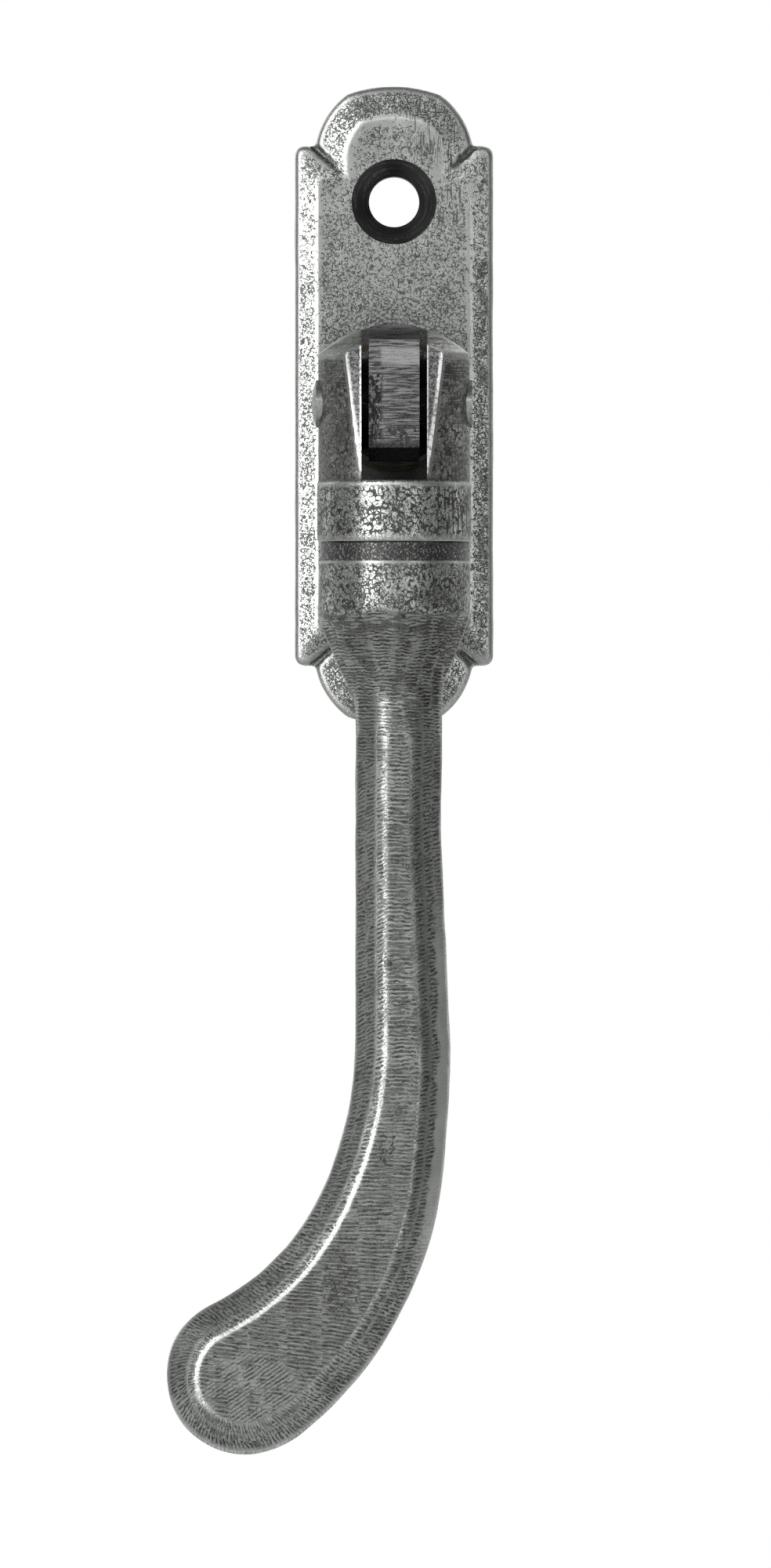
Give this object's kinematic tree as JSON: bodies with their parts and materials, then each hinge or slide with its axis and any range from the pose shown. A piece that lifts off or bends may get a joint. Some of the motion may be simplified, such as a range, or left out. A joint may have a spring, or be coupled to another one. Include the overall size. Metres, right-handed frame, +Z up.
{
  "type": "espagnolette window handle",
  "caption": "Window handle with a lobed wall plate, square spindle, fork-and-tongue knuckle and a forged grip that curves into a flat pear-shaped drop.",
  "frame": {"origin": "centre of the two fixing screws on the plate's back face, which is also the spindle's axis", "axes": "+Z up along the plate, +Y into the window frame along the spindle, +X to the right seen from the room; the grip hangs down and its drop curves towards -X"},
  "size_m": [0.0344, 0.0677, 0.1438],
  "materials": {
    "plate_pewter": "speckled pewter patina, satin",
    "head_pewter": "pebbled pewter patina, satin",
    "grip_pewter": "hand-filed pewter patina, satin",
    "knuckle_steel": "filed steel with worn dark patina",
    "pin_steel": "satin",
    "washer_steel": "blackened",
    "spring_steel": "oiled",
    "zinc_steel": "bright zinc plate",
    "bush_brass": "machined"
  },
  "bodies": {
    "plate": {"backplate": "plate_pewter", "rotor_bush": "bush_brass", "detent_spring": "spring_steel"},
    "rotor": {"pivot_post": "knuckle_steel", "spindle_bar": "zinc_steel", "spindle_pin": "spring_steel", "retaining_washer": "zinc_steel", "circlip": "spring_steel"},
    "handle": {"fork_head": "head_pewter", "grip": "grip_pewter", "pivot_pin": "pin_steel", "pivot_washer_left": "washer_steel", "pivot_washer_right": "washer_steel"}
  },
  "joints": [
    {"name": "spindle_turn", "type": "hinge", "parent": "plate", "child": "rotor", "pos_m": [0, 0, 0], "axis": [0, -1, 0], "range_deg": [-90, 90], "deforming": ["detent_spring"]},
    {"name": "handle_lift", "type": "hinge", "parent": "rotor", "child": "handle", "pos_m": [0, -0.02, 0], "axis": [-1, 0, 0], "range_deg": [0, 90]}
  ]
}
